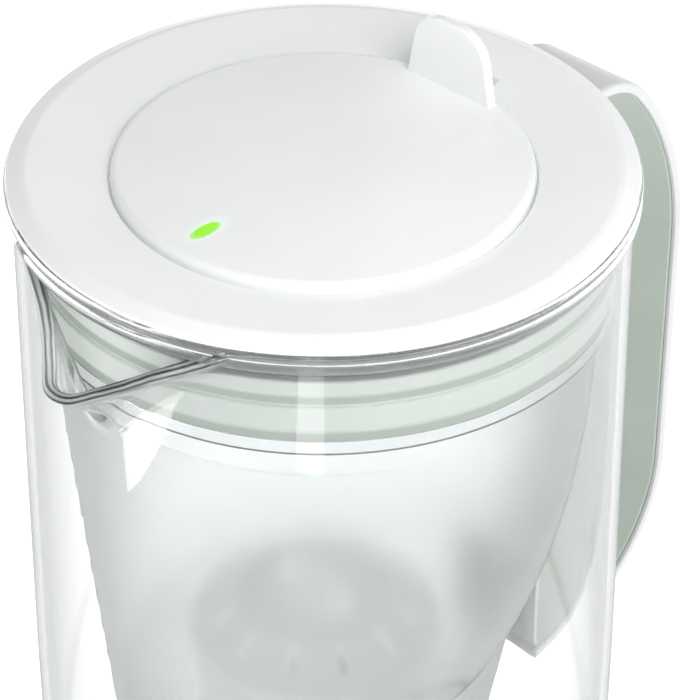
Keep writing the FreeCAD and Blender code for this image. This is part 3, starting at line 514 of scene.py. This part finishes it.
# Glass jug: a round wall whose lip swells out into a pouring beak, with a scooped, fire-polished rim.
# Sizes in millimetres and degrees, then the counts of rows and columns
jug = dict(bodyRadius=71.9, rimRadius=70.5, taperZ=95.0, rimZ=228.4, wall=2.0, floor=9.0, heel=10.0, corner=8.0,
           rootZ=198.6, tipZ=211.6, tipReach=84.9, nose=6.3, halfAngle=34.3, scoopX=-96.88, scoopZ=250.6,
           scoopRadius=40.8, melt=5.0, notchHalf=10.9, notchZ=203.3, notchCorner=3.0, rimRound=0.9,
           bead=0.75, beadDepth=3.5, beadRamp=4.0, beadDome=0.4, ridge=0.12, poleRing=1.5, wallStart=2.0,
           evenTurns=300, lipTurns=91, lipSpan=34, bendTurns=7, notchSlit=2e-5, flatRows=8, cornerRows=9,
           lowShare=0.72, lowRows=18, highRows=56, capRows=27, settleSteps=40)


def wallRadius(z):
    # outer radius of the round wall: even up to the taper, then drawn in straight to the rim
    rise = np.clip((z - jug["taperZ"]) / (jug["rimZ"] - jug["taperZ"]), 0, 1)
    return jug["bodyRadius"] + (jug["rimRadius"] - jug["bodyRadius"]) * rise


def jugWall(phi, z, inset):
    # radius at angle phi from the lip and height z: the drawn-in wall, joined by a soft maximum to a leaning
    # wedge with a round nose
    wall = wallRadius(z) - inset
    rootRadius = wallRadius(jug["rootZ"])
    lean = (jug["tipReach"] - rootRadius) / (jug["tipZ"] - jug["rootZ"])
    middle = rootRadius + lean * (z - jug["rootZ"]) - jug["nose"]
    nose = jug["nose"] - inset
    across = math.radians(90 - jug["halfAngle"])
    turn = np.abs(phi)
    inside = np.maximum(nose ** 2 - (middle * np.sin(turn)) ** 2, 0)
    roundNose = middle * np.cos(turn) + np.sqrt(inside)
    side = (middle * math.cos(across) + nose) / np.cos(np.minimum(turn, across) - across)
    joinTurn = np.arctan2(nose * math.sin(across), middle + nose * math.cos(across))
    wedge = np.where(turn < joinTurn, roundNose, side)
    wedge = np.where(turn < across, wedge, 0)
    gap = np.clip((wedge - wall) / jug["melt"], -1, 1)
    soft = wall + jug["melt"] * (gap + 1) ** 2 / 4
    return np.where(wedge - wall > jug["melt"], wedge, np.where(wedge - wall < -jug["melt"], wall, soft))


def rimTop(phi, theta, inset):
    # height of the rim: level, scooped by a lying cylinder at the lip, and notched for the handle's neck; the
    # scoop's height depends on the wall's reach there, so it is settled in small steps
    z = np.full_like(phi, jug["rimZ"])
    for step in range(jug["settleSteps"]):
        x = -jugWall(phi, z, inset) * np.cos(phi)
        under = np.maximum(jug["scoopRadius"] ** 2 - (x - jug["scoopX"]) ** 2, 0)
        cut = np.where(under > 0, jug["scoopZ"] - np.sqrt(under), jug["rimZ"])
        z = z + 0.5 * (np.minimum(cut, jug["rimZ"]) - z)
    side = np.abs(jug["rimRadius"] * np.sin(theta))
    edge = np.maximum(side - (jug["notchHalf"] - jug["notchCorner"]), 0)
    bend = jug["notchCorner"] - np.sqrt(np.maximum(jug["notchCorner"] ** 2 - edge ** 2, 0))
    notch = (side < jug["notchHalf"]) & (np.cos(theta) > 0)
    return np.where(notch, jug["notchZ"] + bend, z)


def jugTurns():
    # angles round the jug, closer together at the lip and at the notch's edges
    even = np.linspace(-math.pi, math.pi, jug["evenTurns"], endpoint=False)
    lip = math.pi + np.radians(np.linspace(-jug["lipSpan"], jug["lipSpan"], jug["lipTurns"]))
    edge = math.asin(jug["notchHalf"] / jug["rimRadius"])
    cornerY = np.linspace(jug["notchHalf"] - jug["notchCorner"], jug["notchHalf"], jug["bendTurns"])
    bend = np.arcsin(cornerY / jug["rimRadius"])
    fine = np.concatenate([bend[:-1], [edge - jug["notchSlit"], edge + jug["notchSlit"]]])
    turns = np.concatenate([even, lip, fine, -fine])
    return np.unique(np.round((turns + math.pi) % (2 * math.pi), 6)) - math.pi


def makeJug():
    # rings from the base's middle out, up the outer wall, over the rim, down the inner wall and in to the
    # floor's middle; each ring's radius and height follow the lip and the notch round the jug
    theta = jugTurns()[None, :]
    phi = (theta + 2 * math.pi) % (2 * math.pi) - math.pi
    heel, corner, floor, flatRows = jug["heel"], jug["corner"], jug["floor"], jug["flatRows"]
    baseFlat = jug["bodyRadius"] - heel
    floorFlat = jug["bodyRadius"] - jug["wall"] - corner
    turn = np.linspace(0, math.pi / 2, jug["cornerRows"])
    baseR = np.concatenate([np.linspace(jug["poleRing"], baseFlat, flatRows),
                            baseFlat + heel * np.sin(turn[1:])])
    baseZ = np.concatenate([np.zeros(flatRows), heel - heel * np.cos(turn[1:])])
    floorR = np.concatenate([floorFlat + corner * np.cos(turn[:-1]),
                             np.linspace(floorFlat, jug["poleRing"], flatRows)])
    floorZ = np.concatenate([floor + corner - corner * np.sin(turn[:-1]), np.full(flatRows, floor)])
    up = np.concatenate([np.linspace(0, jug["lowShare"], jug["lowRows"], endpoint=False),
                         np.linspace(jug["lowShare"], 1, jug["highRows"])])[:, None]
    cap = np.linspace(0, math.pi, jug["capRows"])[1:-1][:, None]
    outTop = rimTop(phi, theta, 0) - jug["rimRound"]
    inTop = rimTop(phi, theta, jug["wall"]) - jug["rimRound"]
    outLow, inLow = heel + jug["wallStart"], floor + corner + jug["wallStart"]
    outZ = outLow + (outTop - outLow) * up
    inZ = inLow + (inTop - inLow) * up[::-1]
    # the poured lip is a thicker drawn bead that swells over its last few millimetres
    drawn = np.clip((jug["rimZ"] - jug["rimRound"] - outTop) / jug["beadRamp"], 0, 1) * (np.cos(theta) < 0)
    outSwell = np.clip(1 - (outTop - outZ) / jug["beadDepth"], 0, 1) ** 2 * drawn
    inSwell = np.clip(1 - (inTop - inZ) / jug["beadDepth"], 0, 1) ** 2 * drawn
    outR = jugWall(phi, outZ, 0) + jug["bead"] * outSwell
    inR = jugWall(phi, inZ, jug["wall"]) - jug["bead"] * inSwell
    middleR, middleZ = (outR[-1:] + inR[:1]) / 2, (outZ[-1:] + inZ[:1]) / 2
    halfR, halfZ = (outR[-1:] - inR[:1]) / 2, (outZ[-1:] - inZ[:1]) / 2
    span = np.sqrt(halfR ** 2 + halfZ ** 2)
    # fine ridges run along it: two sines across the rim, drifting with three sines of the angle
    drift = 0.9 * np.sin(9 * phi) + 0.6 * np.sin(23 * phi + 1.3) + 0.5 * np.sin(41 * phi)
    ripple = np.sin(7 * cap + drift) + 0.7 * np.sin(13 * cap - 1.7 * drift)
    ridge = jug["ridge"] * drawn * np.sin(cap) * ripple
    dome = (jug["rimRound"] + jug["beadDome"] * drawn + ridge) * np.sin(cap)
    capR = middleR + halfR * np.cos(cap) - halfZ / span * dome
    capZ = middleZ + halfZ * np.cos(cap) + halfR / span * dome
    flat = np.ones_like(theta)
    radius = np.vstack([baseR[:, None] * flat, outR, capR, inR, floorR[:, None] * flat])
    height = np.vstack([baseZ[:, None] * flat, outZ, capZ, inZ, floorZ[:, None] * flat])
    piece = skin("glassJug", turned(radius, height, theta), "poles", 60)
    # how far each point lies on the drawn lip, and where it lies across it; 0 at the two poles
    offBase, offFloor = (np.zeros((len(rows), theta.shape[1])) for rows in (baseR, floorR))
    onLip = np.vstack([offBase, outSwell, np.broadcast_to(drawn, capR.shape), inSwell, offFloor])
    across = np.vstack([offBase, np.zeros_like(outR), cap / math.pi * flat, np.ones_like(inR), offFloor])
    for label, values in (("drawnLip", onLip), ("lipAcross", across)):
        layer = piece.data.attributes.new(label, "FLOAT", "POINT")
        layer.data.foreach_set("value", np.append(values.ravel(), [0, 0]).astype(np.float32))
    return piece


wear(makeJug(), "jug", "clear_glass", finishes["glass"], "glass_jug")
print("glass jug made")


# Rim band: two round clear beads, one over the other, turned about the axis
beads = dict(inner=70.9, waist=71.62, outer=72.2, top=230.0, height=5.3, trim=0.06, nick=0.02, edge=0.4,
             beadRows=15, columns=480)


def makeBand():
    # profile: two half ovals bulging from the waist, and a straight inner face; carried round the axis
    half, top = beads["height"] / 4, beads["top"]
    low = top - beads["height"]
    turn = np.linspace(beads["trim"], math.pi - beads["trim"], beads["beadRows"])
    bulge = beads["waist"] + (beads["outer"] - beads["waist"]) * np.sin(turn)
    heights = [centre + half * np.cos(turn) for centre in (top - half, top - 3 * half)]
    innerZ = [low + beads["nick"], low + beads["edge"], top - beads["edge"], top - beads["nick"]]
    radius = np.concatenate([bulge, bulge, np.full(len(innerZ), beads["inner"])])[:, None]
    height = np.concatenate(heights + [innerZ])[:, None]
    theta = np.linspace(0, 2 * math.pi, beads["columns"], endpoint=False)[None, :]
    return skin("rimBand", turned(radius, height, theta), "loop", 60)


wear(makeBand(), "funnel", "clear_plastic", finishes["band"], "rim_band")
print("rim band made")


# Handle: a white channel bent along the strap's path, with a sage liner in it that turns up against the glass.
# pathRows counts the rows of the neck, shoulder, flank, side, foot and sole
strap = dict(top=217.9, bottom=44.09, reach=120.0, rootReach=84.0, shoulder=22.0, turn=50.0, foot=43.0,
             start=69.0, end=71.0, width=28.0, depth=2.8, skin=1.4, side=1.3, proud=0.3, fit=0.1, gap=0.4,
             edge=1.1, lip=0.4, nook=0.3, linerFront=0.4, linerBack=0.2, upperZ=150.0,
             padHeight=31.5, padBend=2.0, padCorner=6.0, bendRows=12, padRows=8, padTopRows=10,
             pathRows=(6, 22, 30, 14, 44, 4))


def arc(centre, radius, start, end, count):
    # points and outward directions on a circle in the XZ plane, angles in degrees from +X
    a = np.radians(np.linspace(start, end, count))
    away = np.stack([np.cos(a), np.sin(a)], -1)
    return np.array(centre) + radius * away, away


def straight(start, end, away, count):
    # even points from start to end in the XZ plane, all facing the same way
    return np.linspace(start, end, count), np.tile(away, (count, 1))


def strapPath():
    # outer face of the strap from the neck to the foot: straight, shoulder arc, flank arc, straight, foot arc
    # and straight; the runs stop a little short of each other, so that no two rows coincide
    tilt = math.radians(90 - strap["turn"])
    lean = np.array([math.cos(tilt), math.sin(tilt)])
    top, bottom, reach = strap["top"], strap["bottom"], strap["reach"]
    shoulderAt = np.array([strap["rootReach"], top - strap["shoulder"]])
    bendX = shoulderAt[0] + strap["shoulder"] * lean[0]
    flank = (reach - bendX) / (1 - lean[0])
    flankAt = shoulderAt - lean * (flank - strap["shoulder"])
    footAt = np.array([reach - strap["foot"], bottom + strap["foot"]])
    neckRows, shoulderRows, flankRows, sideRows, footRows, soleRows = strap["pathRows"]
    runs = [
        straight([strap["start"], top], [strap["rootReach"] - 0.5, top], (0.0, 1.0), neckRows),
        arc(shoulderAt, strap["shoulder"], 90, 90 - strap["turn"], shoulderRows),
        arc(flankAt, flank, 90 - strap["turn"] - 1.2, 0.8, flankRows),
        straight([reach, flankAt[1]], [reach, footAt[1]], (1.0, 0.0), sideRows),
        arc(footAt, strap["foot"], -1.8, -88.2, footRows),
        straight([footAt[0], bottom], [strap["end"], bottom], (0.0, -1.0), soleRows),
    ]
    return np.concatenate([r[0] for r in runs]), np.concatenate([r[1] for r in runs])


def alongPath(path, away, loop, halfWidth):
    # profile points are (side, inset, depth): side -1 or 1 of the row's own half width, less inset, at a depth
    side, inset, depth = loop[:, 0], loop[:, 1], loop[:, 2]
    across = side[None, :] * (halfWidth[:, None] - inset[None, :])
    xz = path[:, None, :] - away[:, None, :] * depth[None, :, None]
    return np.stack([xz[..., 0], across, xz[..., 1]], -1)


def sideLoop(corners, half):
    # (u, v, radius) outline turned into side, inset and depth
    loop = roundedLoop(corners)
    return np.stack([np.sign(loop[:, 0]), half - np.abs(loop[:, 0]), loop[:, 1]], -1)


def meetGlass(grid, rows):
    # end rows follow the round wall at the handle's gap: X squared plus Y squared is the radius squared
    radius = wallRadius(grid[rows, :, 2]) + strap["gap"]
    grid[rows, :, 0] = np.sqrt(radius ** 2 - grid[rows, :, 1] ** 2)
    return grid


def makeCover():
    # channel outline, a skin with two side walls, carried along the strap's path
    half, depth, skinDepth = strap["width"] / 2, strap["depth"], strap["skin"]
    inner = half - strap["side"]
    edge, lip, nook = strap["edge"], strap["lip"], strap["nook"]
    corners = [(-half, depth, lip), (-half, 0, edge), (half, 0, edge), (half, depth, lip),
               (inner, depth, lip), (inner, skinDepth, nook), (-inner, skinDepth, nook), (-inner, depth, lip)]
    path, away = strapPath()
    grid = alongPath(path, away, sideLoop(corners, half), np.full(len(path), half))
    return skin("handleCover", meetGlass(grid, [0, -1]), "caps", 50)


def makeLiner():
    # flat strip outline carried along the strap's path; before the glass it leaves the strap, bends up with an
    # inner round, and runs up the wall to a pad with round corners
    half = strap["width"] / 2 - strap["side"] - strap["fit"]
    outer, inner = strap["skin"] + strap["fit"], strap["depth"] + strap["proud"]
    front, back, padCorner = strap["linerFront"], strap["linerBack"], strap["padCorner"]
    corners = [(-half, inner, front), (-half, outer, back), (half, outer, back), (half, inner, front)]
    path, away = strapPath()
    backX = jug["bodyRadius"] + strap["gap"]
    bend = inner - outer + strap["padBend"]
    bendAt = np.array([backX + bend, strap["bottom"] + outer + bend])
    keep = (path[:, 0] > bendAt[0] + 0.3) | (path[:, 1] > strap["upperZ"])
    bendPath, bendAway = arc(bendAt, bend + outer, -90, -180, strap["bendRows"])
    topZ = strap["bottom"] + strap["padHeight"]
    topTurn = np.linspace(0.12, 1, strap["padTopRows"]) * math.pi / 2
    rise = np.concatenate([np.linspace(bendAt[1] + 0.5, topZ - padCorner, strap["padRows"]),
                           topZ - padCorner * (1 - np.sin(topTurn))])
    wallPath = np.stack([np.full(len(rise), backX - outer), rise], -1)
    path = np.concatenate([path[keep], bendPath, wallPath])
    away = np.concatenate([away[keep], bendAway, np.tile([-1.0, 0.0], (len(rise), 1))])
    row = np.arange(len(path))
    left = np.clip(topZ - path[:, 1], 0, padCorner)
    corner = padCorner - np.sqrt(np.maximum(padCorner ** 2 - (padCorner - left) ** 2, 0))
    width = np.where(row >= len(path) - len(rise), half - corner, half)
    grid = alongPath(path, away, sideLoop(corners, half), width)
    # on the wall the strip is bent round the glass
    wallRows = row >= len(path) - len(rise) - strap["bendRows"]
    dip = backX - np.sqrt(backX ** 2 - grid[wallRows, :, 1] ** 2)
    share = np.clip((grid[wallRows, :, 2] - strap["bottom"] - outer) / bend, 0, 1)
    grid[wallRows, :, 0] -= dip * share
    return skin("handleLiner", meetGlass(grid, [0]), "caps", 50)


# Neck: the block that joins the strap to the collar through the rim notch
neck = dict(half=10.5, inner=67.3, reach=70.8, root=84.0, low=203.7, high=224.1, hollow=13.1, hollowEnd=104,
            bevel=0.6, inset=1.6, step=0.1, sideEdge=0.3, sideFlat=0.8, hollowRows=14, rows=15)


def makeNeck():
    # outline in the XZ plane carried across the width; its inner and outer faces follow the collar's round
    half, inner, reach, root = neck["half"], neck["inner"], neck["reach"], neck["root"]
    low, high, bevel = neck["low"], neck["high"], neck["bevel"]
    strapTop = strap["top"] - strap["skin"] - strap["fit"]
    hollow = arc((root, low), neck["hollow"], 180, neck["hollowEnd"], neck["hollowRows"])[0]
    block = [[root - neck["inset"], strapTop - bevel], [reach + neck["step"], strapTop - bevel],
             [reach, strapTop], [reach, high - bevel], [reach - bevel, high], [inner + bevel, high],
             [inner, high - bevel]]
    outline = np.concatenate([[[inner, low]], hollow, block])
    edge, flat = neck["sideEdge"], neck["sideFlat"]
    y = np.concatenate([[-half, -half + edge], np.linspace(-half + flat, half - flat, neck["rows"]),
                        [half - edge, half]])[:, None]
    x, z = outline[None, :, 0], outline[None, :, 1]
    x = np.where(x < reach + neck["step"] / 2, np.sqrt(x ** 2 - y ** 2), x)
    return skin("handleNeck", np.stack(np.broadcast_arrays(x, y, z), -1), "caps", 40)


wear(makeCover(), "jug", "white_plastic", finishes["whiteSatin"], "handle_cover")
wear(makeLiner(), "jug", "sage_plastic", finishes["sageSatin"], "handle_liner")
wear(makeNeck(), "jug", "sage_plastic", finishes["sageSatin"])
print("handle made")


# Stage: pale floor, soft sky, lamps, cards and camera, in metres. Places of lamps and cards are given as right,
# away from the camera, and up
stage = dict(floorHalf=6.0, floorZ=-0.0005, floorGlow=1.35, floorShade=0.10, skyLow=0.95, skyHigh=0.38,
             skyStrength=1.0, skyRise=(0.05, 0.7), right=(0.682, -0.731), away=(0.731, 0.682))
lamps = {
    "backBox": dict(at=(0.30, 1.0, 1.09), size=(0.62, 0.48), power=0.3),
    "keyBox": dict(at=(0.15, -0.29, 0.52), size=(0.28, 0.28), power=1.45),
}
lampAim = (0, 0, 0.23)
cards = {
    "frontStrip": dict(right=(-0.053, 0.002), away=(-0.52, -0.327), strength=3.2),
    "leftPatch": dict(right=(-0.42, -0.27), away=(-0.24, -0.10), strength=5.0),
}
photoView = dict(sensor=36.0, lens=164.79, clip=(0.02, 50.0), at=(-0.4404, -0.4162, 0.6266),
                 aim=(0.0028, -0.0030, 0.1784))


def place(right, away, up):
    x = right * stage["right"][0] + away * stage["away"][0]
    y = right * stage["right"][1] + away * stage["away"][1]
    return Vector((x, y, up))


def glowFinish(name, strength, shade):
    # plain light source with a faint unevenness, as on a cloth reflector
    material, spot = newFinish(name)
    cloth = spot.noise(9.0, 2.0) * 0.06 + 0.97
    return closeFinish(material, spot.surface({
        "Base Color": tint(shade, shade, shade), "Roughness": 0.9, "Specular IOR Level": 0.0,
        "Emission Color": cloth.blend(black, white), "Emission Strength": strength}))


def flatSheet(name, corners, material):
    mesh = bpy.data.meshes.new(name)
    mesh.from_pydata([tuple(c) for c in corners], [], [(0, 1, 2, 3)])
    sheet = bpy.data.objects.new(name, mesh)
    scene.collection.objects.link(sheet)
    mesh.materials.append(material)
    return sheet


def makeCard(name, card):
    # sheet lying on the floor that only mirrors and clear pieces see
    (left, right), (near, far) = card["right"], card["away"]
    corners = [place(*at, 0.0) for at in ((left, near), (right, near), (right, far), (left, far))]
    sheet = flatSheet(name, corners, glowFinish(name, card["strength"], 0.0))
    sheet.visible_camera = sheet.visible_diffuse = sheet.visible_shadow = False


def makeFloor():
    half, z = stage["floorHalf"], stage["floorZ"]
    corners = [(-half, -half, z), (half, -half, z), (half, half, z), (-half, half, z)]
    flatSheet("floor", corners, glowFinish("paleFloor", stage["floorGlow"], stage["floorShade"]))


def makeSky():
    # bright at the horizon, dimmer and a little bluer overhead
    world = bpy.data.worlds.new("studio")
    world.use_nodes = True
    scene.world = world
    tree = world.node_tree
    tree.nodes.clear()
    way = Sock(tree, tree.nodes.new("ShaderNodeTexCoord").outputs["Generated"])
    low, high = stage["skyLow"], stage["skyHigh"]
    horizon, overhead = tint(low, low, low * 1.005), tint(high, high * 1.01, high * 1.025)
    shade = way.axis("Z").between(*stage["skyRise"]).blend(horizon, overhead)
    back = way.node("Background", None, {"Color": shade, "Strength": stage["skyStrength"]})
    target = tree.nodes.new("ShaderNodeOutputWorld")
    tree.links.new(back.out, target.inputs["Surface"])


def addAimed(name, data, at, aim):
    # lamp or camera at a place, looking at its aim
    thing = bpy.data.objects.new(name, data)
    thing.location = at
    thing.rotation_mode = "QUATERNION"
    thing.rotation_quaternion = (Vector(aim) - Vector(at)).to_track_quat("-Z", "Y")
    scene.collection.objects.link(thing)
    return thing


def makeLamp(name, lamp):
    data = bpy.data.lights.new(name, "AREA")
    data.shape = "RECTANGLE"
    data.size, data.size_y = lamp["size"]
    data.energy = lamp["power"]
    addAimed(name, data, place(*lamp["at"]), lampAim).visible_camera = False


def makeCamera():
    data = bpy.data.cameras.new("photoCamera")
    data.sensor_width = photoView["sensor"]
    data.lens = photoView["lens"]
    data.clip_start, data.clip_end = photoView["clip"]
    scene.camera = addAimed("photoCamera", data, photoView["at"], photoView["aim"])


makeFloor()
makeSky()
for name, lamp in lamps.items():
    makeLamp(name, lamp)
for name, card in cards.items():
    makeCard(name, card)
makeCamera()
scene.view_settings.view_transform = "Standard"
scene.cycles.max_bounces = 32
scene.cycles.transmission_bounces = 32
scene.cycles.glossy_bounces = 12
scene.cycles.transparent_max_bounces = 16
print("stage set")
